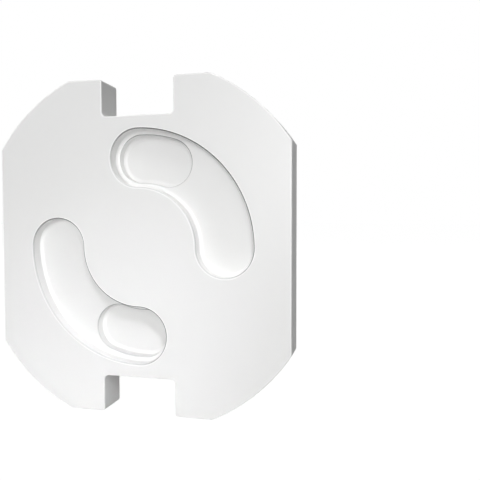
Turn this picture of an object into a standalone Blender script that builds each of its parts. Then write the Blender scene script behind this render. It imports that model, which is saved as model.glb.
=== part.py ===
"""Turning safety cover for a recessed round socket with two pins and two earth clips.

Seen from the front the cover stands upright: +X is right, +Z is up and the front faces -Y.
The plane of the rim at the back is y = 0, and the centre of the outline is on the Y axis.
The plug's pins enter the shutter's holes at 12 and 6 o'clock, and a quarter turn takes them to 3 and 9 o'clock.
"""

from math import asin, cos, degrees, hypot, pi, radians, sin, sqrt

import bmesh
import bpy
from mathutils import Vector

MM = 0.001

# The socket and its plug
PIN_CIRCLE_RADIUS = 9.5 * MM
TURN_DEG = 90.0

# Arc slots in the front cover
SLOT_WIDTH = 6.3 * MM
SLOT_FILLET_REACH = 0.35 * MM
SLOT_FILLET_HEIGHT = 0.35 * MM
SLOT_LIP_EDGE = 0.03 * MM

# Bean-shaped pin holes in the shutter disc, in degrees clockwise from 12 o'clock
BEAN_WIDTH = 5.26 * MM
BEAN_START_DEG = -1.0
BEAN_SPAN_DEG = 20.0
BEAN_FILLET_REACH = 0.25 * MM
BEAN_FILLET_HEIGHT = 0.32 * MM
BEAN_LIP_EDGE = 0.03 * MM

# Shutter disc
DISC_THICKNESS = 1.28 * MM
DISC_PAST_SLOT = 0.2 * MM
DISC_EDGE_ROUNDING = 0.06 * MM
LUG_REACH = 1.1 * MM
LUG_START_DEG = 32.0
LUG_SPAN_DEG = 13.0
BACK_DIMPLE_DIAMETER = 4.4 * MM
BACK_DIMPLE_DEPTH = 0.6 * MM

# Walls of the front cover
COVER_SKIN = 1.43 * MM
NOTCH_WALL = 1.05 * MM
SIDE_WALL = 3.5 * MM
RIM_WIDTH = 0.9 * MM
FACE_EDGE_RADIUS = 0.12 * MM
RIM_EDGE_RADIUS = 0.06 * MM

# Ears and the notches for the earth clips
NOTCH_WIDTH = 8.15 * MM
EAR_HEIGHT = 3.95 * MM
EAR_WIDTH = 3.95 * MM
EAR_CORNER_RADIUS = 0.33 * MM
NOTCH_CORNER_RADIUS = 0.5 * MM
RECESS_CORNER_RADIUS = 0.1 * MM

# Back plate, adhesive pad and release liner
BACK_PLATE_THICKNESS = 0.4 * MM
PIN_HOLE_DIAMETER = 7.1 * MM
PAD_THICKNESS = 0.26 * MM
PAD_MARGIN = 0.25 * MM
PAD_HOLE_MARGIN = 0.08 * MM
LINER_THICKNESS = 0.05 * MM
LINER_SINK = 0.08 * MM

# Clearances
RUNNING_GAP = 0.05 * MM
DISC_EDGE_GAP = 0.1 * MM
SEAT_GAP = 0.03 * MM
LINER_GAP = 0.02 * MM
STOP_GAP_DEG = 0.6

# Cutters run this far past the faces that they open
CUT_PAST = 0.5 * MM

# Fineness of the curved stretches
ARC_STEP_DEG = 3.0
CAP_STEPS = 18
CORNER_STEPS = 4
FILLET_STEPS = 4
ROUNDING_STEPS = 3
HOLE_STEPS = 64

# Radii that follow from the pins outwards
SLOT_HALF_WIDTH = SLOT_WIDTH / 2
BEAN_HALF_WIDTH = BEAN_WIDTH / 2
DISC_RADIUS = PIN_CIRCLE_RADIUS + SLOT_HALF_WIDTH + DISC_PAST_SLOT
CAVITY_RADIUS = DISC_RADIUS + DISC_EDGE_GAP

# Half sizes of the outline, which is a circle cut by four flats
NOTCH_HALF_WIDTH = NOTCH_WIDTH / 2
NOTCH_FLOOR = CAVITY_RADIUS + NOTCH_WALL
HALF_HEIGHT = NOTCH_FLOOR + EAR_HEIGHT
HALF_WIDTH = CAVITY_RADIUS + SIDE_WALL
OUTLINE_RADIUS = hypot(NOTCH_HALF_WIDTH + EAR_WIDTH, HALF_HEIGHT)
OUTLINE_ARC_DEG = degrees(asin(HALF_WIDTH / OUTLINE_RADIUS) - asin((NOTCH_HALF_WIDTH + EAR_WIDTH) / OUTLINE_RADIUS))

# Depths measured from the front face towards the back
DISC_FRONT = COVER_SKIN + RUNNING_GAP
DISC_BACK = DISC_FRONT + DISC_THICKNESS
PLATE_FRONT = DISC_BACK + RUNNING_GAP
LEDGE = PLATE_FRONT - SEAT_GAP
PLATE_BACK = PLATE_FRONT + BACK_PLATE_THICKNESS
PAD_FRONT = PLATE_BACK + SEAT_GAP
PAD_BACK = PAD_FRONT + PAD_THICKNESS
LINER_FRONT = PAD_BACK + LINER_GAP
LINER_BACK = LINER_FRONT + LINER_THICKNESS
THICKNESS = LINER_BACK + LINER_SINK

PARTS = "outlet_safety_cover"
CUTTERS = "outlet_safety_cover_cutters"

WHITE_PLASTIC = (0.86, 0.86, 0.85, 1.0)
SHUTTER_WHITE = (0.85, 0.85, 0.84, 1.0)
FOAM_GREY = (0.62, 0.62, 0.61, 1.0)
LINER_RED = (0.67, 0.03, 0.01, 1.0)


def clear_scene():
    """Removes what the scene holds, and makes the two collections."""
    for obj in list(bpy.data.objects):
        bpy.data.objects.remove(obj, do_unlink=True)
    for name in (PARTS, CUTTERS):
        bpy.context.scene.collection.children.link(bpy.data.collections.new(name))
    bpy.data.collections[CUTTERS].hide_render = True


def material(name, colour, roughness):
    """A plain Principled material."""
    made = bpy.data.materials.new(name)
    made.use_nodes = True
    shader = made.node_tree.nodes["Principled BSDF"]
    shader.inputs["Base Color"].default_value = colour
    shader.inputs["Roughness"].default_value = roughness
    shader.inputs["Metallic"].default_value = 0.0
    made.diffuse_color = colour
    return made


def clock_point(radius, clock_deg):
    """The point at this radius and angle clockwise from 12 o'clock, as (x, z) seen from the front."""
    return radius * sin(radians(clock_deg)), radius * cos(radians(clock_deg))


def arc(centre, radius, start_deg, end_deg, steps):
    """Points along an arc, with angles clockwise from straight up, and both ends included."""
    turn = (end_deg - start_deg) / steps
    offsets = [clock_point(radius, start_deg + turn * i) for i in range(steps + 1)]
    return [(centre[0] + x, centre[1] + z) for x, z in offsets]


def steps_for(span_deg):
    """How many straight pieces a stretch of this angle takes."""
    return max(2, round(abs(span_deg) / ARC_STEP_DEG))


def outline(inset):
    """The cover's outline moved inwards by inset: a circle with two side flats, two end flats and two notches."""
    radius = OUTLINE_RADIUS - inset
    half_width = HALF_WIDTH - inset
    half_height = HALF_HEIGHT - inset
    ear_radius = max(EAR_CORNER_RADIUS - inset, RECESS_CORNER_RADIUS)
    ear_centre = (NOTCH_HALF_WIDTH + inset + ear_radius, half_height - ear_radius)
    notch_radius = NOTCH_CORNER_RADIUS + inset
    notch_centre = (NOTCH_HALF_WIDTH - NOTCH_CORNER_RADIUS, NOTCH_FLOOR + NOTCH_CORNER_RADIUS)
    side_deg = degrees(asin(half_width / radius))
    ear_deg = degrees(asin(sqrt(radius**2 - half_height**2) / radius))
    quarter = arc((0, 0), radius, side_deg, ear_deg, steps_for(OUTLINE_ARC_DEG))
    quarter += arc(ear_centre, ear_radius, 0, -90, CORNER_STEPS)
    quarter += arc(notch_centre, notch_radius, 90, 180, CORNER_STEPS)
    half = quarter + [(-x, z) for x, z in reversed(quarter)]
    return half + [(-x, -z) for x, z in half]


def bean(half_width, start_deg, span_deg):
    """A slot bent round the pin circle, with round ends centred on that circle."""
    end_deg = start_deg + span_deg
    steps = steps_for(span_deg)
    start_centre = clock_point(PIN_CIRCLE_RADIUS, start_deg)
    end_centre = clock_point(PIN_CIRCLE_RADIUS, end_deg)
    outer = arc((0, 0), PIN_CIRCLE_RADIUS + half_width, start_deg, end_deg, steps)
    end_cap = arc(end_centre, half_width, end_deg, end_deg + 180, CAP_STEPS)
    inner = arc((0, 0), PIN_CIRCLE_RADIUS - half_width, end_deg, start_deg, steps)
    start_cap = arc(start_centre, half_width, start_deg + 180, start_deg + 360, CAP_STEPS)
    return outer + end_cap[1:-1] + inner + start_cap[1:-1]


def lobed_circle(radius, reach, lobe_start_deg, lobe_span_deg):
    """A circle with two opposite lobes that reach out past it."""
    points = []
    for side in (0, 180):
        start = lobe_start_deg + side
        end = start + lobe_span_deg
        points += arc((0, 0), radius + reach, start, end, steps_for(lobe_span_deg))
        points += arc((0, 0), radius, end, lobe_start_deg + side + 180, steps_for(180 - lobe_span_deg))
    return points


def add_mesh(name, mesh, collection, look=None):
    """Makes an object of the mesh, shaded smooth where its faces meet at a small angle."""
    obj = bpy.data.objects.new(name, mesh)
    bpy.data.collections[collection].objects.link(obj)
    mesh.shade_smooth()
    mesh.set_sharp_from_angle(angle=radians(35))
    if look:
        mesh.materials.append(look)
    if collection == CUTTERS:
        obj.hide_render = True
        obj.display_type = "WIRE"
    return obj


def loft(name, levels, collection, look=None):
    """Skins a stack of outlines with the same number of points. Each level is (depth from the front face, points)."""
    shape = bmesh.new()
    rings = []
    for depth, points in levels:
        rings.append([shape.verts.new((x, depth - THICKNESS, z)) for x, z in points])
    for ring, following in zip(rings, rings[1:]):
        for i in range(len(ring)):
            j = (i + 1) % len(ring)
            shape.faces.new((ring[i], ring[j], following[j], following[i]))
    shape.faces.new(rings[0])
    shape.faces.new(rings[-1])
    bmesh.ops.recalc_face_normals(shape, faces=shape.faces)
    mesh = bpy.data.meshes.new(name)
    shape.to_mesh(mesh)
    shape.free()
    return add_mesh(name, mesh, collection, look)


def sheet(name, loops, front, back, collection, look=None):
    """A flat plate between two depths, from a filled 2D curve whose inner loops are its holes."""
    curve = bpy.data.curves.new(name, "CURVE")
    curve.dimensions = "2D"
    curve.fill_mode = "BOTH"
    curve.extrude = (back - front) / 2
    for loop in loops:
        spline = curve.splines.new("POLY")
        spline.points.add(len(loop) - 1)
        spline.use_cyclic_u = True
        for point, (x, z) in zip(spline.points, loop):
            point.co = (x, z, 0, 1)
    guide = bpy.data.objects.new(name, curve)
    bpy.context.scene.collection.objects.link(guide)
    guide.location.y = (front + back) / 2 - THICKNESS
    guide.rotation_euler.x = pi / 2
    bpy.context.view_layer.update()
    mesh = bpy.data.meshes.new_from_object(guide.evaluated_get(bpy.context.evaluated_depsgraph_get()))
    mesh.transform(guide.matrix_world)
    bpy.data.objects.remove(guide, do_unlink=True)
    weld_caps(mesh)
    return add_mesh(name, mesh, collection, look)


def weld_caps(mesh):
    """Joins a filled curve's loose caps to its sides."""
    shape = bmesh.new()
    shape.from_mesh(mesh)
    bmesh.ops.remove_doubles(shape, verts=shape.verts, dist=0.001 * MM)
    bmesh.ops.recalc_face_normals(shape, faces=shape.faces)
    shape.to_mesh(mesh)
    shape.free()


def cylinder(name, centre, diameter, front, back, collection):
    """A round cutter along Y between two depths."""
    shape = bmesh.new()
    bmesh.ops.create_cone(
        shape, cap_ends=True, segments=HOLE_STEPS, radius1=diameter / 2, radius2=diameter / 2, depth=back - front
    )
    bmesh.ops.rotate(shape, verts=shape.verts, matrix=turned_to_y())
    middle = Vector((centre[0], (front + back) / 2 - THICKNESS, centre[1]))
    bmesh.ops.translate(shape, verts=shape.verts, vec=middle)
    mesh = bpy.data.meshes.new(name)
    shape.to_mesh(mesh)
    shape.free()
    return add_mesh(name, mesh, collection)


def turned_to_y():
    """The rotation that takes the Z axis to the Y axis."""
    return Vector((0, 0, 1)).rotation_difference(Vector((0, 1, 0))).to_matrix()


def cut(target, cutter):
    """Takes the cutter's volume out of the target."""
    boolean = target.modifiers.new(cutter.name, "BOOLEAN")
    boolean.operation = "DIFFERENCE"
    boolean.solver = "EXACT"
    boolean.object = cutter


def rounding(radius, steps):
    """A quarter round as (depth, inset) pairs, from the face, where it is inset by the radius, down to the wall."""
    quarter = [pi / 2 * i / steps for i in range(steps + 1)]
    return [(radius * (1 - cos(t)), radius * (1 - sin(t))) for t in quarter]


def hole_profile(face, floor, edge_radius, reach, height, lip_edge):
    """(depth, widening) pairs of a moulded hole: a rounded mouth, a straight wall, a concave fillet and a thin lip."""
    mouth = [(face + depth, inset) for depth, inset in rounding(edge_radius, ROUNDING_STEPS)]
    fillet_top = floor - lip_edge - height
    quarter = [pi / 2 * i / FILLET_STEPS for i in range(FILLET_STEPS + 1)]
    fillet = [(fillet_top + height * sin(t), reach * (cos(t) - 1)) for t in quarter]
    outside = (face - CUT_PAST, edge_radius)
    inside = (floor + CUT_PAST, -reach)
    return [outside] + mouth + fillet + [inside]


def bean_cutter(name, half_width, start_deg, span_deg, profile):
    """A cutter that gives a bent slot the wall of the profile."""
    levels = [(depth, bean(half_width + widening, start_deg, span_deg)) for depth, widening in profile]
    return loft(name, levels, CUTTERS)


def make_front_cover(look):
    """The moulded shell: rounded outline, two arc slots, the disc's cavity with its stop pockets, and the back recess."""
    front = [(depth, outline(inset)) for depth, inset in rounding(FACE_EDGE_RADIUS, ROUNDING_STEPS)]
    back = [(THICKNESS - depth, outline(inset)) for depth, inset in reversed(rounding(RIM_EDGE_RADIUS, 1))]
    cover = loft("front_cover", front + back, PARTS, look)
    recess = sheet("back_recess", [outline(RIM_WIDTH)], LEDGE, THICKNESS + CUT_PAST, CUTTERS)
    pocket_start = LUG_START_DEG - STOP_GAP_DEG
    pocket_span = LUG_SPAN_DEG + TURN_DEG + 2 * STOP_GAP_DEG
    cavity_outline = lobed_circle(CAVITY_RADIUS, LUG_REACH, pocket_start, pocket_span)
    cavity = sheet("disc_cavity", [cavity_outline], COVER_SKIN, LEDGE + CUT_PAST, CUTTERS)
    cut(cover, recess)
    cut(cover, cavity)
    profile = hole_profile(
        0, COVER_SKIN, FACE_EDGE_RADIUS, SLOT_FILLET_REACH, SLOT_FILLET_HEIGHT, SLOT_LIP_EDGE
    )
    for name, start in (("upper_slot", 0), ("lower_slot", 180)):
        cut(cover, bean_cutter(name, SLOT_HALF_WIDTH, start, TURN_DEG, profile))
    return cover


def make_shutter_disc(look):
    """The turning disc with its stop lugs, pin holes and the blind dimples that face the back plate's holes."""
    edges = rounding(DISC_EDGE_ROUNDING, 1)
    front = [(DISC_FRONT + depth, inset) for depth, inset in edges]
    back = [(DISC_BACK - depth, inset) for depth, inset in reversed(edges)]
    levels = []
    for depth, inset in front + back:
        levels.append((depth, lobed_circle(DISC_RADIUS - inset, LUG_REACH, LUG_START_DEG, LUG_SPAN_DEG)))
    disc = loft("shutter_disc", levels, PARTS, look)
    profile = hole_profile(
        DISC_FRONT, DISC_BACK, DISC_EDGE_ROUNDING, BEAN_FILLET_REACH, BEAN_FILLET_HEIGHT, BEAN_LIP_EDGE
    )
    for name, side in (("upper", 0), ("lower", 180)):
        start = BEAN_START_DEG + side
        cut(disc, bean_cutter(name + "_pin_hole", BEAN_HALF_WIDTH, start, BEAN_SPAN_DEG, profile))
        centre = clock_point(PIN_CIRCLE_RADIUS, TURN_DEG + side)
        floor = DISC_BACK - BACK_DIMPLE_DEPTH
        dimple = cylinder(name + "_dimple", centre, BACK_DIMPLE_DIAMETER, floor, DISC_BACK + CUT_PAST, CUTTERS)
        cut(disc, dimple)
    return disc


def plate_loops(inset, hole_diameter):
    """The outline moved inwards, with a round hole at each place where the pins end their turn."""
    loops = [outline(inset)]
    for side in (0, 180):
        centre = clock_point(PIN_CIRCLE_RADIUS, TURN_DEG + side)
        loops.append(arc(centre, hole_diameter / 2, 0, 360, HOLE_STEPS)[:-1])
    return loops


def make_back_plate(look):
    """The thin plate that closes the cavity, seated on the ledge inside the rim."""
    loops = plate_loops(RIM_WIDTH + SEAT_GAP, PIN_HOLE_DIAMETER)
    return sheet("back_plate", loops, PLATE_FRONT, PLATE_BACK, PARTS, look)


def make_adhesive(pad_look, liner_look):
    """The die-cut pad on the back plate, and the liner cut with it."""
    loops = plate_loops(RIM_WIDTH + PAD_MARGIN, PIN_HOLE_DIAMETER + 2 * PAD_HOLE_MARGIN)
    sheet("adhesive_pad", loops, PAD_FRONT, PAD_BACK, PARTS, pad_look)
    sheet("release_liner", loops, LINER_FRONT, LINER_BACK, PARTS, liner_look)


def main():
    """Builds every piece in place."""
    clear_scene()
    white = material("white_plastic", WHITE_PLASTIC, 0.22)
    make_front_cover(white)
    make_shutter_disc(material("shutter_white", SHUTTER_WHITE, 0.25))
    make_back_plate(white)
    make_adhesive(material("foam_pad", FOAM_GREY, 0.8), material("liner_red", LINER_RED, 0.35))


main()
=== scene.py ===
"""Looks of a turning safety cover for a recessed round socket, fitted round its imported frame.

The frame's coordinates hold throughout: +X is right, +Z is up, the front faces -Y, and the rim's
back plane is y = 0. Fields and loops are in millimetres, and meshes are made in metres. A depth is
counted from the front face backwards.
"""

from __future__ import annotations

import logging
from collections.abc import Callable
from dataclasses import dataclass, field, replace
from enum import Enum

import bmesh
import bpy
import numpy as np
from mathutils import Matrix, Vector
from mathutils.geometry import delaunay_2d_cdt

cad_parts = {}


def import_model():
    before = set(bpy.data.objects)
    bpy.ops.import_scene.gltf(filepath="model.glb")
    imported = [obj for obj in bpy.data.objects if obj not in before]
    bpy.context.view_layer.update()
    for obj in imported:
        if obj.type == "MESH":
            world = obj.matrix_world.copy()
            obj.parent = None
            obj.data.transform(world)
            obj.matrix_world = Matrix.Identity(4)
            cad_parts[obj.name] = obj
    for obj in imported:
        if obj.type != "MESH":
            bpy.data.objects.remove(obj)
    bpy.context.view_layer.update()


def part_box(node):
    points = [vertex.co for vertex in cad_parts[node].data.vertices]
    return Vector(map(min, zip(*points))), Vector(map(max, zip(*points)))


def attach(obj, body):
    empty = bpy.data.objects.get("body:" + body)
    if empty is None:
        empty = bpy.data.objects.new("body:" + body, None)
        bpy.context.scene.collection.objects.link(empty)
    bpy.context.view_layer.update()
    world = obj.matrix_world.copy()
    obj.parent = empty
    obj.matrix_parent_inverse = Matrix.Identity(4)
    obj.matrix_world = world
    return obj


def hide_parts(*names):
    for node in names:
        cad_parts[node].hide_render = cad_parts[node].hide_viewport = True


LOG = logging.getLogger("socket_cover")

MM = 0.001
PIN_CIRCLE_MM = 9.5
BACK_HOLE_CLOCKS = (90.0, 270.0)
WELD_M = 2e-7
SLIVER_M = 1e-8
FILL_GAP_MM = 1e-7
FILL_INSIDE = 1
SHARP_DEG = 32
# Painted shade round hole mouths: an even share plus a swing by facing away from the light.
EVEN_SHADE = 0.56
SHADE_SWING = 0.44
NOISE_LOW = 0.3
NOISE_HIGH = 0.7


class CoverBody(Enum):
    """The rigid bodies of the frame that pieces ride on."""

    COVER = "cover"
    SHUTTER = "shutter"


class Slot(Enum):
    """The material slots of the record."""

    WHITE_PLASTIC = "white_plastic"
    SHUTTER_PLASTIC = "shutter_plastic"
    FOAM_PAD = "foam_pad"
    LINER_FILM = "liner_film"


# Outlines


def arc(
    centre: tuple[float, float], radius: float, start_deg: float, end_deg: float, steps: int
) -> np.ndarray:
    """Points along an arc, in equal steps of the clock angle.

    Each point is the centre plus the radius times (sin a, cos a), with a clockwise from 12 o'clock.

    Args:
        centre: x and z of the centre.
        radius: the arc's radius.
        start_deg: first angle.
        end_deg: last angle.
        steps: number of straight pieces.

    Returns:
        An array of steps + 1 rows of x and z, both ends included.
    """
    angles = np.radians(np.linspace(start_deg, end_deg, steps + 1))
    return np.array(centre) + radius * np.column_stack([np.sin(angles), np.cos(angles)])


def clock_point(radius: float, clock_deg: float) -> tuple[float, float]:
    """The x and z of the point at this radius and clock angle."""
    angle = np.radians(clock_deg)
    return float(radius * np.sin(angle)), float(radius * np.cos(angle))


def counterclockwise(loop: np.ndarray) -> np.ndarray:
    """The loop in the order that gives it a positive area.

    The area is half the sum of x0 z1 - x1 z0 over the loop's sides.

    Args:
        loop: a closed loop of points.

    Returns:
        The loop, turned round where its area was below zero.
    """
    after = np.roll(loop, -1, axis=0)
    area = float(np.sum(loop[:, 0] * after[:, 1] - after[:, 0] * loop[:, 1])) / 2
    return loop if area > 0 else loop[::-1]


@dataclass(frozen=True)
class CoverOutline:
    """The cover's outline: a circle cut by two side flats and two notched end flats."""

    half_width: float = 16.45
    half_height: float = 17.95
    ear_outer: float = 8.025
    notch_half_width: float = 4.075
    notch_floor: float = 14.0
    ear_corner: float = 0.33
    notch_corner: float = 0.5
    least_corner: float = 0.1
    inner_from: float = 0.5
    arc_steps: int = 30
    corner_steps: int = 10

    def loop(self, inset: float) -> np.ndarray:
        """The outline moved inwards.

        Each flat moves by the inset, the circle's radius shrinks by it, convex corners get tighter
        by it down to the least corner, and concave corners get wider by it. Inside the rim, which
        is past inner_from, the concave corners are the least one too. The number of points is the
        same for every inset.

        Args:
            inset: how far inwards, below zero for outwards.

        Returns:
            A closed loop of points, clockwise seen from the front.
        """
        radius = float(np.hypot(self.ear_outer, self.half_height)) - inset
        width, height = self.half_width - inset, self.half_height - inset
        ear = max(self.ear_corner - inset, self.least_corner)
        side = float(np.degrees(np.arcsin(width / radius)))
        end = float(np.degrees(np.arccos(height / radius)))
        notch = self.notch_corner + inset if inset < self.inner_from else self.least_corner
        ear_centre = (self.notch_half_width + inset + ear, height - ear)
        notch_centre = (self.notch_half_width + inset - notch, self.notch_floor - inset + notch)
        quarter = np.concatenate(
            [
                arc((0.0, 0.0), radius, side, end, self.arc_steps),
                arc(ear_centre, ear, 0, -90, self.corner_steps),
                arc(notch_centre, notch, 90, 180, self.corner_steps),
            ]
        )
        half = np.concatenate([quarter, quarter[::-1] * (-1, 1)])
        return np.concatenate([half, half * (-1, -1)])


@dataclass(frozen=True)
class BentSlot:
    """A slot bent round the pin circle, with round ends centred on that circle."""

    half_width: float
    start_deg: float
    span_deg: float
    pin_circle: float = PIN_CIRCLE_MM
    arc_step_deg: float = 1.5
    cap_steps: int = 40

    def loop(self, widening: float) -> np.ndarray:
        """The slot's edge, widened: two arcs about the cover's centre and two round caps.

        Args:
            widening: how far outwards, below zero for inwards.

        Returns:
            A closed loop of points, clockwise seen from the front.
        """
        half, end_deg = self.half_width + widening, self.start_deg + self.span_deg
        steps = max(2, round(self.span_deg / self.arc_step_deg))
        outer = arc((0.0, 0.0), self.pin_circle + half, self.start_deg, end_deg, steps)
        end_centre = clock_point(self.pin_circle, end_deg)
        end = arc(end_centre, half, end_deg, end_deg + 180, self.cap_steps)
        inner = arc((0.0, 0.0), self.pin_circle - half, end_deg, self.start_deg, steps)
        start_centre = clock_point(self.pin_circle, self.start_deg)
        start = arc(start_centre, half, self.start_deg + 180, self.start_deg + 360, self.cap_steps)
        return np.concatenate([outer, end[1:-1], inner, start[1:-1]])


@dataclass(frozen=True)
class LobedCircle:
    """A circle with two opposite lobes past it, as the shutter and its cavity have."""

    radius: float
    reach: float
    lobe_start_deg: float
    lobe_span_deg: float
    arc_step_deg: float = 1.5

    def loop(self, inset: float) -> np.ndarray:
        """The lobed circle with both radii reduced by the inset.

        Args:
            inset: how far inwards.

        Returns:
            A closed loop of points, clockwise seen from the front.
        """
        lobe_steps = max(2, round(self.lobe_span_deg / self.arc_step_deg))
        rest_steps = round((180 - self.lobe_span_deg) / self.arc_step_deg)
        radius, centre = self.radius - inset, (0.0, 0.0)
        start, end = self.lobe_start_deg, self.lobe_start_deg + self.lobe_span_deg
        half = np.concatenate(
            [
                arc(centre, radius + self.reach, start, end, lobe_steps),
                arc(centre, radius, end, start + 180, rest_steps),
            ]
        )
        return np.concatenate([half, -half])


@dataclass(frozen=True)
class RoundHole:
    """A round hole on the pin circle."""

    diameter: float
    clock_deg: float
    pin_circle: float = PIN_CIRCLE_MM
    steps: int = 96

    def loop(self, widening: float) -> np.ndarray:
        """The hole's edge, moved outwards by the widening."""
        centre = clock_point(self.pin_circle, self.clock_deg)
        return arc(centre, self.diameter / 2 + widening, 0, 360, self.steps)[:-1]


def away_from_light(loop: np.ndarray, light: tuple[float, float] = (0.6, 0.8)) -> np.ndarray:
    """How far each point of a hole's edge faces away from a light at the front's upper right.

    The share is the even shade less the swing times (n . light), with n the unit vector from the
    clockwise edge into the hole. It sets how much painted shade the hole's mouth gets.

    Args:
        loop: the hole's edge.
        light: unit vector towards the light, across and up.

    Returns:
        One share from zero to one for each point.
    """
    along = np.roll(loop, -1, axis=0) - np.roll(loop, 1, axis=0)
    inwards = np.column_stack([along[:, 1], -along[:, 0]])
    inwards = inwards / np.linalg.norm(along, axis=1, keepdims=True)
    return EVEN_SHADE - SHADE_SWING * inwards @ np.array(light)


# Profiles of moulded edges


@dataclass(frozen=True)
class Level:
    """One level of a wall, with three shares of it from zero to one that the finish reads.

    Corners, fillets and hole walls get a painted highlight, outer walls a rougher finish with
    painted shade, and the curve round a hole's mouth a thin band of painted shade.
    """

    depth: float
    inset: float
    pale: float = 0.0
    matte_and_shade: float = 0.0
    painted_shade: float = 0.0


def rounded_edge(
    radius: float, steps: int = 6, support: float = 0.02, pale: float = 0.0
) -> list[Level]:
    """A quarter round from a flat face to a wall.

    The depth is radius times (1 - cos t) and the inset is radius times (1 - sin t), with t from 0
    to a right angle. The share of painted highlight is full up to 60 degrees and then falls with
    cos t. A narrow flat ring before the rounding keeps the face's shading flat.

    Args:
        radius: the rounding's radius.
        steps: number of straight pieces.
        support: width of the flat ring.
        pale: the most that the share of painted highlight reaches.

    Returns:
        Levels with their depth below the face and their inset from the wall.
    """
    t = np.linspace(0, np.pi / 2, steps + 1)
    shares = pale * np.minimum(1, 2 * np.cos(t))
    rows = np.column_stack([radius * (1 - np.cos(t)), radius * (1 - np.sin(t)), shares])
    return [Level(0.0, radius + support)] + [Level(*row) for row in rows.tolist()]


def hole_mouth(radius: float, painted_shade: float, ring: float = 0.0) -> list[Level]:
    """A rounded edge whose curve carries a thin band of painted shade, with a ring of painted
    highlight on the face before it.

    Args:
        radius: the rounding's radius.
        painted_shade: the share of painted shade on the curve.
        ring: width of the ring of painted highlight, or zero for none.

    Returns:
        Levels with their depth below the face and their inset from the wall.
    """
    flat, start, *curve = rounded_edge(radius, steps=5)
    if ring:
        flat = replace(flat, inset=flat.inset + ring)
        start = replace(start, pale=1.0)
        flats = [flat, replace(start, inset=radius + ring), start]
    else:
        flats = [flat, start]
    return flats + [replace(level, painted_shade=painted_shade) for level in curve]


def floor_fillet(
    bottom: float, reach: float, height: float, steps: int = 10, start_deg: float = 38.0
) -> list[Level]:
    """A concave sweep that meets the wall in a crease and runs out level on the floor.

    With t from the start angle t0 to a right angle, the depth is the bottom less the height times
    (1 - sin t) / (1 - sin t0), the inset is -reach (1 - cos t / cos t0) and the share of painted
    highlight is cos t / cos t0.

    Args:
        bottom: depth at which the sweep runs out.
        reach: how far it comes in from the wall.
        height: how far up the wall it starts.
        steps: number of straight pieces.
        start_deg: the angle between the wall and the sweep's first stretch.

    Returns:
        Levels with their depth and their inset, which is below zero as they reach into the hole.
    """
    t = np.linspace(np.radians(start_deg), np.pi / 2, steps + 1)
    fade = np.cos(t) / np.cos(t[0])
    depths = bottom - height * (1 - np.sin(t)) / (1 - np.sin(t[0]))
    rows = np.column_stack([depths, -reach * (1 - fade), fade])
    return [Level(*row) for row in rows.tolist()]


def below(face: float, levels: list[Level]) -> list[Level]:
    """The levels counted from a face towards the back."""
    return [replace(level, depth=face + level.depth) for level in levels]


def above(face: float, levels: list[Level]) -> list[Level]:
    """The levels counted from a face towards the front, in the order in which they meet it."""
    return [replace(level, depth=face - level.depth) for level in reversed(levels)]


def wall_between(
    first: Level, last: Level, pale: float = 0.0, matte_and_shade: float = 0.0, margin: float = 0.03
) -> list[Level]:
    """The two ends of the straight wall between two corners.

    Args:
        first: the corner nearer the front.
        last: the corner nearer the back.
        pale: the wall's share of painted light.
        matte_and_shade: the wall's share of rougher finish and painted shade.
        margin: how far each end is from its corner.

    Returns:
        The wall's two levels.
    """
    ends = (first.depth + margin, first.inset), (last.depth - margin, last.inset)
    return [Level(depth, inset, pale, matte_and_shade) for depth, inset in ends]


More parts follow.
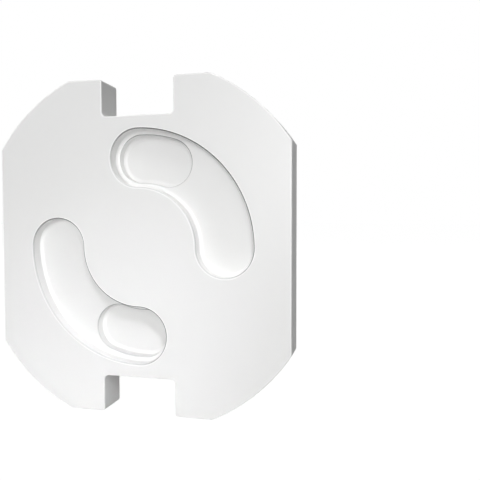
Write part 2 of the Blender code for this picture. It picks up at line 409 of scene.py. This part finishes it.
@dataclass
class MouldedBody:
    """Gathers the walls and flat faces of one closed piece as arrays, and makes its mesh."""

    thickness: float
    points: list[np.ndarray] = field(default_factory=list)
    faces: list[np.ndarray] = field(default_factory=list)
    traits: list[np.ndarray] = field(default_factory=list)
    count: int = 0
    # Traits: painted highlight, rougher finish with painted shade, painted shade round mouths.
    trait_names: tuple[str, ...] = ("pale", "matte_and_shade", "painted_shade")

    def _place(self, loop: np.ndarray, depth: float) -> np.ndarray:
        """The loop's points in space, in millimetres."""
        return np.column_stack([loop[:, 0], np.full(len(loop), depth - self.thickness), loop[:, 1]])

    def _add(self, points: np.ndarray, faces: np.ndarray, traits: np.ndarray) -> None:
        """Keeps a wall or a flat face.

        Args:
            points: rows of x, y and z.
            faces: rows of numbers of those points, counted from their first.
            traits: a row of shares for each point.
        """
        self.points.append(points)
        self.faces.append(self.count + faces)
        self.traits.append(traits)
        self.count += len(points)

    def add_wall(self, levels: list[Level], loop_at: Callable[[float], np.ndarray]) -> None:
        """Skins a stack of loops: point (i, j) of the grid is point j of loop i, at its depth.

        Args:
            levels: the levels, in order.
            loop_at: gives the loop for an inset, with the same number of points for each.
        """
        grid = np.stack([self._place(loop_at(level.inset), level.depth) for level in levels])
        rows, columns = grid.shape[:2]
        index = np.arange(rows * columns).reshape(rows, columns)
        beside = np.roll(index, -1, axis=1)
        quads = np.stack([index[:-1], beside[:-1], beside[1:], index[1:]], axis=-1)
        shares = np.array([(level.pale, level.matte_and_shade, level.painted_shade) for level in levels])
        traits = shares[:, None] * np.ones((columns, 1))
        # The painted shade round a mouth is strongest where the edge faces away from the light.
        painted_shade = self.trait_names.index("painted_shade")
        traits[:, :, painted_shade] *= away_from_light(loop_at(levels[0].inset))
        self._add(grid.reshape(-1, 3), quads.reshape(-1, 4), traits.reshape(rows * columns, -1))

    def add_flat(self, depth: float, loops: list[np.ndarray]) -> None:
        """Fills the plane at a depth between the first loop and the loops inside it.

        The triangulation tells which loops lie round each triangle, and the triangles that are kept
        have only the first loop round them.

        Args:
            depth: depth of the plane.
            loops: the outer loop, then the loops of the holes.
        """
        loops = [counterclockwise(loop) for loop in loops]
        starts = np.cumsum([0] + [len(loop) for loop in loops[:-1]])
        rings = [list(range(at, at + len(loop))) for at, loop in zip(starts.tolist(), loops)]
        flat = [Vector(point) for point in np.concatenate(loops).tolist()]
        made, _, triangles, _, _, within = delaunay_2d_cdt(
            flat, [], rings, FILL_INSIDE, FILL_GAP_MM
        )
        kept = [triangle for triangle, around in zip(triangles, within) if list(around) == [0]]
        corners = np.array([tuple(point) for point in made])
        plain = np.zeros((len(corners), len(self.trait_names)))
        self._add(self._place(corners, depth), np.array(kept, dtype=int), plain)

    def build(self, name: str) -> bpy.types.Object:
        """Makes the piece: welds shared edges, turns faces outwards and shades curves smooth.

        Args:
            name: the piece's name.

        Returns:
            The new object, at the origin, with its place in its mesh.
        """
        mesh = bpy.data.meshes.new(name)
        polygons = [tuple(face) for faces in self.faces for face in faces.tolist()]
        mesh.from_pydata((np.concatenate(self.points) * MM).tolist(), [], polygons)
        for trait, values in zip(self.trait_names, np.concatenate(self.traits).T):
            layer = mesh.attributes.new(trait, "FLOAT", "POINT")
            layer.data.foreach_set("value", values.astype(np.float32))
        shape = bmesh.new()
        shape.from_mesh(mesh)
        bmesh.ops.remove_doubles(shape, verts=shape.verts, dist=WELD_M)
        bmesh.ops.dissolve_degenerate(shape, edges=shape.edges, dist=SLIVER_M)
        bmesh.ops.recalc_face_normals(shape, faces=shape.faces)
        open_edges = sum(1 for edge in shape.edges if len(edge.link_faces) != 2)
        shape.to_mesh(mesh)
        shape.free()
        mesh.shade_smooth()
        mesh.set_sharp_from_angle(angle=np.radians(SHARP_DEG))
        piece = bpy.data.objects.new(name, mesh)
        bpy.context.scene.collection.objects.link(piece)
        LOG.info("%s: %d faces, %d open edges", name, len(mesh.polygons), open_edges)
        return piece


# Finishes


class NodeTree:
    """A material's node tree, with short ways to add and join its nodes."""

    def __init__(self, name: str) -> None:
        """Makes a material with a Principled shader on its output.

        Args:
            name: the material's name.
        """
        self.material = bpy.data.materials.new(name)
        self.material.use_nodes = True
        self.tree = self.material.node_tree
        self.shader = self.tree.nodes["Principled BSDF"]
        self.output = self.tree.nodes["Material Output"]
        self.place = self.add("ShaderNodeTexCoord").outputs["Object"]

    def add(self, kind: str, **settings: object) -> bpy.types.Node:
        """Adds a node and sets its attributes.

        Args:
            kind: the node's type name.
            **settings: its attributes.

        Returns:
            The new node.
        """
        node = self.tree.nodes.new(kind)
        for key, value in settings.items():
            setattr(node, key, value)
        return node

    def join(self, source: bpy.types.NodeSocket, target: bpy.types.NodeSocket) -> None:
        """Links two sockets."""
        self.tree.links.new(source, target)

    def trait(self, name: str) -> bpy.types.NodeSocket:
        """A trait of the mesh's points, such as the share of rougher finish and painted shade."""
        return self.add("ShaderNodeAttribute", attribute_name=name).outputs["Fac"]

    def noise(self, per_mm: float, detail: float) -> bpy.types.NodeSocket:
        """Noise over the object's own coordinates.

        Args:
            per_mm: features per millimetre.
            detail: octaves.

        Returns:
            The noise's value, around one half.
        """
        node = self.add("ShaderNodeTexNoise")
        node.inputs["Scale"].default_value = per_mm / MM
        node.inputs["Detail"].default_value = detail
        self.join(self.place, node.inputs["Vector"])
        return node.outputs["Fac"]

    def spread(self, source: bpy.types.NodeSocket, low: float, high: float) -> bpy.types.NodeSocket:
        """Maps the middle range of a noise onto another range.

        Args:
            source: the noise.
            low: what the middle range's low end becomes.
            high: what its high end becomes.

        Returns:
            The mapped value.
        """
        node = self.add("ShaderNodeMapRange")
        node.inputs["From Min"].default_value = NOISE_LOW
        node.inputs["From Max"].default_value = NOISE_HIGH
        node.inputs["To Min"].default_value = low
        node.inputs["To Max"].default_value = high
        self.join(source, node.inputs["Value"])
        return node.outputs["Result"]

    def math(self, operation: str, *values: object) -> bpy.types.NodeSocket:
        """Adds a Math node.

        Args:
            operation: its operation.
            *values: its inputs, as sockets or numbers.

        Returns:
            Its result.
        """
        node = self.add("ShaderNodeMath", operation=operation)
        for socket, value in zip(node.inputs, values):
            if isinstance(value, bpy.types.NodeSocket):
                self.join(value, socket)
            else:
                socket.default_value = value
        return node.outputs[0]

    def blend(
        self, share: bpy.types.NodeSocket, first: object, second: object
    ) -> bpy.types.NodeSocket:
        """Mixes two colours, each three numbers or a socket.

        Args:
            share: how much of the second, from 0 to 1.
            first: the first colour.
            second: the second colour.

        Returns:
            The mixed colour.
        """
        node = self.add("ShaderNodeMix", data_type="RGBA")
        self.join(share, node.inputs["Factor"])
        for name, colour in (("A", first), ("B", second)):
            socket = next(s for s in node.inputs if s.name == name and s.type == "RGBA")
            if isinstance(colour, bpy.types.NodeSocket):
                self.join(colour, socket)
            else:
                socket.default_value = (*colour, 1)
        return next(socket for socket in node.outputs if socket.type == "RGBA")

    def bump(
        self, height: bpy.types.NodeSocket, rise_mm: float, onto: bpy.types.NodeSocket | None = None
    ) -> bpy.types.NodeSocket:
        """Adds a bump.

        Args:
            height: its height from 0 to 1.
            rise_mm: what a height of 1 is.
            onto: an earlier bump that it is laid over.

        Returns:
            The bent normal.
        """
        node = self.add("ShaderNodeBump")
        node.inputs["Strength"].default_value = 1.0
        node.inputs["Distance"].default_value = rise_mm * MM
        self.join(height, node.inputs["Height"])
        if onto is not None:
            self.join(onto, node.inputs["Normal"])
        return node.outputs["Normal"]

    def put(self, **values: object) -> None:
        """Sets or links the shader's own sockets.

        Args:
            **values: numbers, colours or sockets, by the socket's name with underscores for spaces.
        """
        for key, value in values.items():
            socket = self.shader.inputs[key.replace("_", " ")]
            if isinstance(value, bpy.types.NodeSocket):
                self.join(value, socket)
            else:
                socket.default_value = value


@dataclass(frozen=True)
class MouldedPlastic:
    """White moulded plastic: smooth faces, rougher outer walls, a faint wave and grain, with
    painted highlights on corners and hole walls and painted shade on outer walls and round hole
    mouths.
    """

    name: str
    colour: tuple[float, float, float] = (0.87, 0.87, 0.865)
    shade: tuple[float, float, float] = (0.867, 0.868, 0.863)
    # Painted highlight colour for corners, fillets and hole walls.
    corner: tuple[float, float, float] = (0.97, 0.97, 0.965)
    # A darker white: painted shade on the outer walls.
    wall: tuple[float, float, float] = (0.8, 0.8, 0.795)
    # Near black for the painted shade round hole mouths.
    shade_line: tuple[float, float, float] = (0.07, 0.07, 0.07)
    low_roughness: float = 0.277
    high_roughness: float = 0.283
    wall_roughness: float = 0.6
    refraction: float = 1.48
    specular: float = 0.4
    clouds_per_mm: float = 0.5
    gloss_per_mm: float = 0.3
    wave_mm: float = 0.0012
    waves_per_mm: float = 0.5
    grain_mm: float = 0.0003
    grains_per_mm: float = 9.0

    def material(self) -> bpy.types.Material:
        """Builds the finish from noise over the object's coordinates and the mesh's traits.

        Returns:
            The material.
        """
        nodes = NodeTree(self.name)
        clouds = nodes.spread(nodes.noise(self.clouds_per_mm, 3), 0.0, 1.0)
        clouded = nodes.blend(clouds, self.colour, self.shade)
        # Outer walls: a darker white as painted shade, and below a rougher gloss.
        walled = nodes.blend(nodes.trait("matte_and_shade"), clouded, self.wall)
        # Painted highlight on corners, fillets and hole walls.
        edged = nodes.blend(nodes.trait("pale"), walled, self.corner)
        # Painted shade: a thin near-black band round each hole's mouth.
        nodes.put(Base_Color=nodes.blend(nodes.trait("painted_shade"), edged, self.shade_line))
        gloss = nodes.noise(self.gloss_per_mm, 2)
        gloss = nodes.spread(gloss, self.low_roughness, self.high_roughness)
        rise = nodes.math("SUBTRACT", self.wall_roughness, gloss)
        duller = nodes.math("MULTIPLY", nodes.trait("matte_and_shade"), rise)
        nodes.put(Roughness=nodes.math("ADD", gloss, duller))
        nodes.put(IOR=self.refraction, Specular_IOR_Level=self.specular)
        wave = nodes.bump(nodes.noise(self.waves_per_mm, 1), self.wave_mm)
        nodes.put(Normal=nodes.bump(nodes.noise(self.grains_per_mm, 2), self.grain_mm, wave))
        return nodes.material


@dataclass(frozen=True)
class AdhesiveFoam:
    """Pale foam tape with fine open cells."""

    name: str = "adhesive_foam"
    colour: tuple[float, float, float] = (0.66, 0.66, 0.64)
    # Darker colour in the pits: painted shade.
    cell: tuple[float, float, float] = (0.5, 0.5, 0.48)
    cells_per_mm: float = 9.0
    pit_reach: float = 0.5
    pit_blend: float = 0.2
    pit_mm: float = 0.02
    gloss_per_mm: float = 2.0
    low_roughness: float = 0.75
    high_roughness: float = 0.9

    def material(self) -> bpy.types.Material:
        """Builds the finish: cells a tenth of a millimetre across pit the surface, with painted
        shade in the pits.

        Returns:
            The material.
        """
        nodes = NodeTree(self.name)
        cells = nodes.add("ShaderNodeTexVoronoi")
        cells.inputs["Scale"].default_value = self.cells_per_mm / MM
        nodes.join(nodes.place, cells.inputs["Vector"])
        distance = cells.outputs["Distance"]
        depth = nodes.math("SMOOTH_MIN", distance, self.pit_reach, self.pit_blend)
        # Painted shade: the pits are coloured darker.
        nodes.put(Base_Color=nodes.blend(nodes.spread(depth, 0.0, 1.0), self.cell, self.colour))
        gloss = nodes.noise(self.gloss_per_mm, 3)
        gloss = nodes.spread(gloss, self.low_roughness, self.high_roughness)
        nodes.put(Roughness=gloss, Normal=nodes.bump(depth, self.pit_mm))
        return nodes.material


@dataclass(frozen=True)
class PrintedLiner:
    """White peel-off film with rows of short red bars on its outer face."""

    name: str = "printed_liner"
    paper: tuple[float, float, float] = (0.9, 0.9, 0.88)
    ink: tuple[float, float, float] = (0.66, 0.028, 0.004)
    turn_deg: float = 38.0
    along_mm: float = 7.6
    across_mm: float = 6.2
    bar_length_mm: float = 5.6
    bar_width_mm: float = 2.8
    bar_corner_mm: float = 0.18
    ripple_mm: float = 0.002
    ripples_per_mm: float = 0.25
    gloss_per_mm: float = 0.4
    low_roughness: float = 0.34
    high_roughness: float = 0.38

    def _cell(
        self, nodes: NodeTree, value: bpy.types.NodeSocket, pitch: float
    ) -> bpy.types.NodeSocket:
        """The distance of a coordinate from the middle of its cell, with cells of this pitch."""
        inside = nodes.math("WRAP", value, pitch, 0.0)
        return nodes.math("ABSOLUTE", nodes.math("SUBTRACT", inside, pitch / 2))

    def _bars(self, nodes: NodeTree) -> bpy.types.NodeSocket:
        """A rounded box repeated on a grid, with each other row half a cell on.

        With q the distance from a cell's middle less the bar's straight half sizes, a point is in
        the bar where the length of q, each part of it not below zero, is under the bar's corner.

        Args:
            nodes: the finish's tree.

        Returns:
            One inside the bars and zero outside.
        """
        mapping = nodes.add("ShaderNodeMapping")
        mapping.inputs["Rotation"].default_value = (0, np.radians(self.turn_deg), 0)
        mapping.inputs["Scale"].default_value = (1 / MM, 1 / MM, 1 / MM)
        nodes.join(nodes.place, mapping.inputs["Vector"])
        parts = nodes.add("ShaderNodeSeparateXYZ")
        nodes.join(mapping.outputs["Vector"], parts.inputs["Vector"])
        row = nodes.math("FLOOR", nodes.math("DIVIDE", parts.outputs["Z"], self.across_mm))
        shift = nodes.math("MULTIPLY", nodes.math("WRAP", row, 2.0, 0.0), self.along_mm / 2)
        along = self._cell(nodes, nodes.math("ADD", parts.outputs["X"], shift), self.along_mm)
        across = self._cell(nodes, parts.outputs["Z"], self.across_mm)
        corner = self.bar_corner_mm
        past = [
            nodes.math("MAXIMUM", nodes.math("SUBTRACT", distance, size / 2 - corner), 0.0)
            for distance, size in ((along, self.bar_length_mm), (across, self.bar_width_mm))
        ]
        reach = nodes.math("SQRT", nodes.math("ADD", *[nodes.math("MULTIPLY", p, p) for p in past]))
        return nodes.math("LESS_THAN", reach, corner)

    def material(self) -> bpy.types.Material:
        """Builds the finish: ink over paper, a slight gloss and soft ripples.

        Returns:
            The material.
        """
        nodes = NodeTree(self.name)
        nodes.put(Base_Color=nodes.blend(self._bars(nodes), self.paper, self.ink))
        gloss = nodes.noise(self.gloss_per_mm, 2)
        gloss = nodes.spread(gloss, self.low_roughness, self.high_roughness)
        ripples = nodes.bump(nodes.noise(self.ripples_per_mm, 1), self.ripple_mm)
        nodes.put(Roughness=gloss, Normal=ripples)
        return nodes.material


# The cover's sub-assemblies


@dataclass
class Layer:
    """The depths between which a node of the frame lies."""

    front: float
    back: float

    @classmethod
    def of(cls, node: str, thickness: float) -> Layer:
        """Reads the layer from the node's box."""
        low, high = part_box(node)
        return cls(low.y / MM + thickness, high.y / MM + thickness)


@dataclass
class FrontShell:
    """The moulded shell: outline, two arc slots, the shutter's cavity and the rim's recess."""

    thickness: float
    shutter: Layer
    back_plate: Layer
    outline: CoverOutline = CoverOutline()
    face_radius: float = 0.12
    face_ring: float = 0.05
    # Painted highlight on the front edge's rounding.
    face_highlight: float = 0.8
    rim_radius: float = 0.07
    rim_inner_radius: float = 0.05
    rim_width: float = 0.9
    ledge_gap: float = 0.03
    slot_half_width: float = 3.07
    slot_span_deg: float = 90.0
    mouth_radius: float = 0.12
    # Width of the ring of painted highlight round each slot's mouth.
    mouth_ring: float = 0.09
    fillet_reach: float = 0.38
    fillet_height: float = 0.22
    # Painted light on the slot walls.
    wall_painted_light: float = 0.4
    slot_lip: float = 0.01
    feather_gap: float = 0.015
    cavity: LobedCircle = LobedCircle(
        radius=12.95, reach=1.1, lobe_start_deg=31.4, lobe_span_deg=104.2
    )

    def slots(self) -> list[BentSlot]:
        """The two arc slots, a half turn apart."""
        width, span = self.slot_half_width, self.slot_span_deg
        return [BentSlot(width, start, span) for start in (0.0, 180.0)]

    def _outer_levels(self, ledge: float) -> list[Level]:
        """The outer wall from the front face round the rim and down to the ledge.

        Args:
            ledge: depth of the ledge that the back plate lies over.

        Returns:
            The wall's levels, with insets from the outline.
        """
        front = rounded_edge(self.face_radius, support=self.face_ring, pale=self.face_highlight)
        rim = above(self.thickness, rounded_edge(self.rim_radius, steps=4))
        inner = [
            replace(level, depth=self.thickness - level.depth, inset=self.rim_width - level.inset)
            for level in rounded_edge(self.rim_inner_radius, steps=4)
        ]
        # The outer wall gets the rougher finish and the painted shade.
        wall = wall_between(front[-1], rim[0], matte_and_shade=1.0)
        return front + wall + rim + inner + [Level(ledge, self.rim_width)]

    def _slot_levels(self, tip: float) -> list[Level]:
        """A slot's wall from its mouth through the fillet to the thin lip over the shutter.

        Args:
            tip: depth of the lip's underside.

        Returns:
            The wall's levels, with insets from the slot's edge.
        """
        # The slot's mouth gets painted shade, and a ring of painted highlight before it.
        mouth = hole_mouth(self.mouth_radius, painted_shade=1.0, ring=self.mouth_ring)
        fillet = floor_fillet(tip - self.slot_lip, self.fillet_reach, self.fillet_height)
        wall = wall_between(mouth[-1], fillet[0], pale=self.wall_painted_light)
        return mouth + wall + fillet + [Level(tip, -self.fillet_reach)]

    def build(self) -> bpy.types.Object:
        """Makes the shell as one closed mesh.

        Returns:
            The new object.
        """
        body = MouldedBody(self.thickness)
        ledge = self.back_plate.front - self.ledge_gap
        tip = self.shutter.front - self.feather_gap
        outer, hole, slots = self._outer_levels(ledge), self._slot_levels(tip), self.slots()
        body.add_wall(outer, self.outline.loop)
        for slot in slots:
            body.add_wall(hole, slot.loop)
        face = self.outline.loop(outer[0].inset)
        body.add_flat(0.0, [face] + [slot.loop(hole[0].inset) for slot in slots])
        body.add_wall([Level(tip, 0.0), Level(ledge, 0.0)], self.cavity.loop)
        ceiling = self.cavity.loop(0.0)
        body.add_flat(tip, [ceiling] + [slot.loop(hole[-1].inset) for slot in slots])
        body.add_flat(ledge, [self.outline.loop(self.rim_width), ceiling])
        return body.build("front_shell")


@dataclass
class TurningShutter:
    """The disc behind the slots, with two bean-shaped pin holes, stop lugs and back dimples."""

    thickness: float
    layer: Layer
    edge: LobedCircle = LobedCircle(
        radius=12.85, reach=1.1, lobe_start_deg=32.0, lobe_span_deg=13.0
    )
    edge_radius: float = 0.06
    hole_half_width: float = 2.57
    hole_start_deg: float = -1.0
    hole_span_deg: float = 19.4
    mouth_radius: float = 0.1
    # Painted shade round each pin hole's mouth.
    mouth_painted_shade: float = 0.7
    fillet_reach: float = 0.4
    fillet_height: float = 0.22
    # Painted light on the pin holes' walls.
    wall_painted_light: float = 0.6
    lip: float = 0.01
    dimple_diameter: float = 4.4
    dimple_radius: float = 0.08
    dimple_depth: float = 0.6
    dimple_fillet: float = 0.15

    def _hole_levels(self) -> list[Level]:
        """A pin hole's wall from its mouth through the fillet to the thin lip over the back plate.

        Returns:
            The wall's levels, with insets from the hole's edge.
        """
        mouth = below(self.layer.front, hole_mouth(self.mouth_radius, self.mouth_painted_shade))
        fillet = floor_fillet(self.layer.back - self.lip, self.fillet_reach, self.fillet_height)
        wall = wall_between(mouth[-1], fillet[0], pale=self.wall_painted_light)
        return mouth + wall + fillet + [Level(self.layer.back, -self.fillet_reach)]

    def _dimple_levels(self) -> list[Level]:
        """A blind dimple's wall, from the disc's back towards the front.

        Returns:
            The wall's levels, with insets from the dimple's edge.
        """
        mouth = rounded_edge(self.dimple_radius, steps=4)
        fillet = floor_fillet(self.dimple_depth, self.dimple_fillet, self.dimple_fillet, steps=5)
        return [replace(level, depth=self.layer.back - level.depth) for level in mouth + fillet]

    def build(self) -> bpy.types.Object:
        """Makes the disc as one closed mesh.

        Returns:
            The new object.
        """
        body = MouldedBody(self.thickness)
        corner = rounded_edge(self.edge_radius, steps=4)
        outer = below(self.layer.front, corner) + above(self.layer.back, corner)
        body.add_wall(outer, self.edge.loop)
        starts = (self.hole_start_deg, self.hole_start_deg + 180)
        holes = [BentSlot(self.hole_half_width, start, self.hole_span_deg) for start in starts]
        hole = self._hole_levels()
        for pin_hole in holes:
            body.add_wall(hole, pin_hole.loop)
        dimples = [RoundHole(self.dimple_diameter, clock) for clock in BACK_HOLE_CLOCKS]
        dimple = self._dimple_levels()
        for blind_hole in dimples:
            body.add_wall(dimple, blind_hole.loop)
            body.add_flat(dimple[-1].depth, [blind_hole.loop(dimple[-1].inset)])
        rim = self.edge.loop(corner[0].inset)
        mouths = [pin_hole.loop(hole[0].inset) for pin_hole in holes]
        body.add_flat(self.layer.front, [rim] + mouths)
        back_loops = [pin_hole.loop(hole[-1].inset) for pin_hole in holes]
        back_loops += [blind_hole.loop(dimple[0].inset) for blind_hole in dimples]
        body.add_flat(self.layer.back, [rim] + back_loops)
        return body.build("turning_shutter")


@dataclass
class FlatLayer:
    """A thin layer inside the rim with two round holes: the back plate, the pad or the liner."""

    name: str
    layer: Layer
    thickness: float
    inset: float
    hole_diameter: float
    edge_radius: float
    edge_ring: float = 0.01
    outline: CoverOutline = CoverOutline()

    def build(self) -> bpy.types.Object:
        """Makes the layer as one closed mesh with softened edges.

        Returns:
            The new object.
        """
        body = MouldedBody(self.thickness)
        corner = rounded_edge(self.edge_radius, steps=3, support=self.edge_ring)
        levels = below(self.layer.front, corner) + above(self.layer.back, corner)
        holes = [RoundHole(self.hole_diameter, clock) for clock in BACK_HOLE_CLOCKS]
        body.add_wall(levels, lambda inset: self.outline.loop(self.inset + inset))
        for hole in holes:
            body.add_wall(levels, hole.loop)
        edge = corner[0].inset
        loops = [self.outline.loop(self.inset + edge)] + [hole.loop(edge) for hole in holes]
        for depth in (self.layer.front, self.layer.back):
            body.add_flat(depth, loops)
        return body.build(self.name)


@dataclass
class SocketCover:
    """The whole cover, dressed over the frame's nodes."""

    thickness: float = 3.65
    plate_inset: float = 0.93
    plate_hole: float = 7.1
    tape_inset: float = 1.15
    tape_hole: float = 7.26
    edge_radius: float = 0.03
    film_edge_radius: float = 0.01
    shell_finish: MouldedPlastic = MouldedPlastic("moulded_white")
    # The closing plate and shutter are darker whites than the shell: painted shade on the recessed
    # floors.
    plate_shaded_finish: MouldedPlastic = MouldedPlastic(
        "plate_shaded_white", colour=(0.815, 0.815, 0.81), shade=(0.812, 0.812, 0.808)
    )
    disc_shaded_finish: MouldedPlastic = MouldedPlastic(
        "shutter_white", colour=(0.85, 0.85, 0.845), shade=(0.847, 0.848, 0.843)
    )

    def _dress(
        self,
        piece: bpy.types.Object,
        node: str,
        finish: bpy.types.Material,
        body: CoverBody,
    ) -> None:
        """Gives a piece its finish and body, and lets it stand for its node.

        Args:
            piece: the new piece.
            node: the frame's node that it stands for.
            finish: its material.
            body: the body that it rides on.
        """
        piece.data.materials.append(finish)
        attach(piece, body.value)
        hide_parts(node)
        LOG.info("%s stands for %s and rides on %s", piece.name, node, body.value)

    def _layer(
        self, name: str, node: str, inset: float, hole_diameter: float, edge_radius: float
    ) -> bpy.types.Object:
        """Makes one of the thin layers inside the rim.

        Args:
            name: the piece's name.
            node: the frame's node that it stands for.
            inset: how far inside the outline its edge is.
            hole_diameter: diameter of its two round holes.
            edge_radius: rounding of its edges.

        Returns:
            The new object.
        """
        layer = FlatLayer(
            name=name,
            layer=Layer.of(node, self.thickness),
            thickness=self.thickness,
            inset=inset,
            hole_diameter=hole_diameter,
            edge_radius=edge_radius,
        )
        return layer.build()

    def build(self) -> None:
        """Builds every piece in order, from the front to the back."""
        # The darker plate and shutter whites are painted shade.
        white, disc_shaded_white = self.shell_finish.material(), self.disc_shaded_finish.material()
        plate_shaded_white = self.plate_shaded_finish.material()
        foam_grey, film_print = AdhesiveFoam().material(), PrintedLiner().material()
        shutter = Layer.of("shutter_disc", self.thickness)
        plate = Layer.of("back_plate", self.thickness)
        shell = FrontShell(self.thickness, shutter, plate).build()
        self._dress(shell, "front_cover", white, CoverBody.COVER)
        disc = TurningShutter(self.thickness, shutter).build()
        self._dress(disc, "shutter_disc", disc_shaded_white, CoverBody.SHUTTER)
        back = self._layer(
            "closing_plate", "back_plate", self.plate_inset, self.plate_hole, self.edge_radius
        )
        self._dress(back, "back_plate", plate_shaded_white, CoverBody.COVER)
        foam = self._layer(
            "foam_tape", "adhesive_pad", self.tape_inset, self.tape_hole, self.edge_radius
        )
        self._dress(foam, "adhesive_pad", foam_grey, CoverBody.COVER)
        film = self._layer(
            "peel_film", "release_liner", self.tape_inset, self.tape_hole, self.film_edge_radius
        )
        self._dress(film, "release_liner", film_print, CoverBody.COVER)


# The studio


@dataclass(frozen=True)
class Softbox:
    """A square area lamp aimed at a point of the cover, with places in millimetres."""

    name: str
    place: tuple[float, float, float]
    aim: tuple[float, float, float]
    side: float
    watts: float
    spread_deg: float = 180.0

    def build(self) -> None:
        """Makes the lamp, unseen by the camera itself."""
        data = bpy.data.lights.new(self.name, "AREA")
        data.shape = "SQUARE"
        data.size = self.side * MM
        data.energy = self.watts
        data.spread = np.radians(self.spread_deg)
        lamp = bpy.data.objects.new(self.name, data)
        bpy.context.scene.collection.objects.link(lamp)
        lamp.location = Vector(self.place) * MM
        direction = Vector(self.aim) - Vector(self.place)
        lamp.rotation_mode = "QUATERNION"
        lamp.rotation_quaternion = direction.to_track_quat("-Z", "Y")
        lamp.visible_camera = False


@dataclass(frozen=True)
class PhotoCamera:
    """The camera at the photograph's viewpoint, as a place in millimetres and unit vectors."""

    place: tuple[float, float, float] = (24.0131, -57.2942, 3.0979)
    right: tuple[float, float, float] = (0.97249272, 0.23292557, -0.0018954)
    up: tuple[float, float, float] = (-0.0075454, 0.03963373, 0.99918579)
    back: tuple[float, float, float] = (0.23281104, -0.9716866, 0.04030103)
    lens: float = 40.767
    sensor_width: float = 36.0
    nearest_m: float = 0.001
    farthest_m: float = 10.0

    def build(self) -> None:
        """Makes the camera and sets it as the scene's."""
        data = bpy.data.cameras.new("photo_camera")
        data.lens = self.lens
        data.sensor_width = self.sensor_width
        data.clip_start = self.nearest_m
        data.clip_end = self.farthest_m
        camera = bpy.data.objects.new("photo_camera", data)
        bpy.context.scene.collection.objects.link(camera)
        turn = Matrix((self.right, self.up, self.back)).transposed().to_4x4()
        camera.matrix_world = Matrix.Translation(Vector(self.place) * MM) @ turn
        bpy.context.scene.camera = camera


@dataclass
class Studio:
    """A plain pale floor, a white surround and soft lamps."""

    floor_height: float = -17.97
    floor_side: float = 4000.0
    floor_colour: tuple[float, float, float, float] = (0.45, 0.45, 0.45, 1.0)
    floor_roughness: float = 0.9
    floor_glow: float = 1.13
    shadow_share: float = 0.12
    surround: float = 0.05
    lamps: tuple[Softbox, ...] = (
        Softbox("front_key", (60.0, -420.0, 40.0), (0.0, 0.0, 0.0), 270.0, 1.56),
        Softbox("upper_right", (109.9, -235.7, 234.2), (0.0, 0.0, 0.0), 80.0, 0.125),
        Softbox("overhead", (0.0, -60.8, 344.7), (0.0, 0.0, 0.0), 80.0, 0.30),
        Softbox("right_fill", (306.4, -142.9, 90.6), (0.0, 0.0, 0.0), 80.0, 0.016),
        Softbox("behind", (-147.1, 315.5, 36.6), (0.0, 0.0, 0.0), 80.0, 0.85),
        Softbox("low_pool", (44.0, -70.8, 44.4), (-3.0, -3.65, -13.0), 10.0, 0.00027, 36.0),
        Softbox("low_left_pool", (39.0, -70.8, 40.4), (-8.0, -3.65, -17.0), 10.0, 0.00046, 26.0),
        Softbox("left_pool", (41.0, -70.8, 49.4), (-6.0, -3.65, -8.0), 10.0, 0.00007, 26.0),
    )

    def _seen(self, tree: bpy.types.NodeTree) -> bpy.types.NodeSocket:
        """Tells rays that see the surroundings from light itself.

        Args:
            tree: the tree that the nodes go into.

        Returns:
            One for rays from the camera, mirror rays and rays through glass, and zero for others.
        """
        path = tree.nodes.new("ShaderNodeLightPath")
        total = path.outputs["Is Camera Ray"]
        for name in ("Is Glossy Ray", "Is Transmission Ray"):
            node = tree.nodes.new("ShaderNodeMath")
            node.operation = "MAXIMUM"
            tree.links.new(total, node.inputs[0])
            tree.links.new(path.outputs[name], node.inputs[1])
            total = node.outputs[0]
        return total

    def _floor(self) -> None:
        """Makes a large square floor just under the cover, near white apart from its shadow."""
        half = self.floor_side / 2 * MM
        height = self.floor_height * MM
        mesh = bpy.data.meshes.new("floor")
        signs = ((-1, -1), (1, -1), (1, 1), (-1, 1))
        corners = [(x * half, y * half, height) for x, y in signs]
        mesh.from_pydata(corners, [], [(0, 1, 2, 3)])
        floor = bpy.data.objects.new("floor", mesh)
        bpy.context.scene.collection.objects.link(floor)
        nodes = NodeTree("pale_floor")
        nodes.put(Base_Color=self.floor_colour, Roughness=self.floor_roughness)
        nodes.put(Specular_IOR_Level=0.0)
        glow = nodes.add("ShaderNodeEmission")
        glow.inputs["Strength"].default_value = self.floor_glow
        mixer = nodes.add("ShaderNodeMixShader")
        share = nodes.math("MULTIPLY", self._seen(nodes.tree), 1 - self.shadow_share)
        nodes.join(share, mixer.inputs["Fac"])
        nodes.join(nodes.shader.outputs["BSDF"], mixer.inputs[1])
        nodes.join(glow.outputs["Emission"], mixer.inputs[2])
        nodes.join(mixer.outputs["Shader"], nodes.output.inputs["Surface"])
        mesh.materials.append(nodes.material)

    def _world(self) -> None:
        """Makes a surround that is white to the camera and mirror rays, and an even dim fill."""
        world = bpy.data.worlds.new("white_surround")
        bpy.context.scene.world = world
        world.use_nodes = True
        tree = world.node_tree
        background = tree.nodes["Background"]
        background.inputs["Color"].default_value = (1, 1, 1, 1)
        level = tree.nodes.new("ShaderNodeMapRange")
        level.inputs["To Min"].default_value = self.surround
        level.inputs["To Max"].default_value = 1.0
        tree.links.new(self._seen(tree), level.inputs["Value"])
        tree.links.new(level.outputs["Result"], background.inputs["Strength"])

    def build(self) -> None:
        """Makes the floor, the surround, the lamps and the camera."""
        bpy.context.scene.view_settings.view_transform = "Standard"
        self._floor()
        self._world()
        for lamp in self.lamps:
            lamp.build()
        PhotoCamera().build()
        LOG.info("studio: %d lamps, floor at %.2f mm", len(self.lamps), self.floor_height)


def main() -> None:
    """Loads the frame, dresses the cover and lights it."""
    logging.basicConfig(level=logging.INFO, format="%(name)s: %(message)s")
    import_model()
    SocketCover().build()
    Studio().build()


if __name__ == "__main__":
    main()
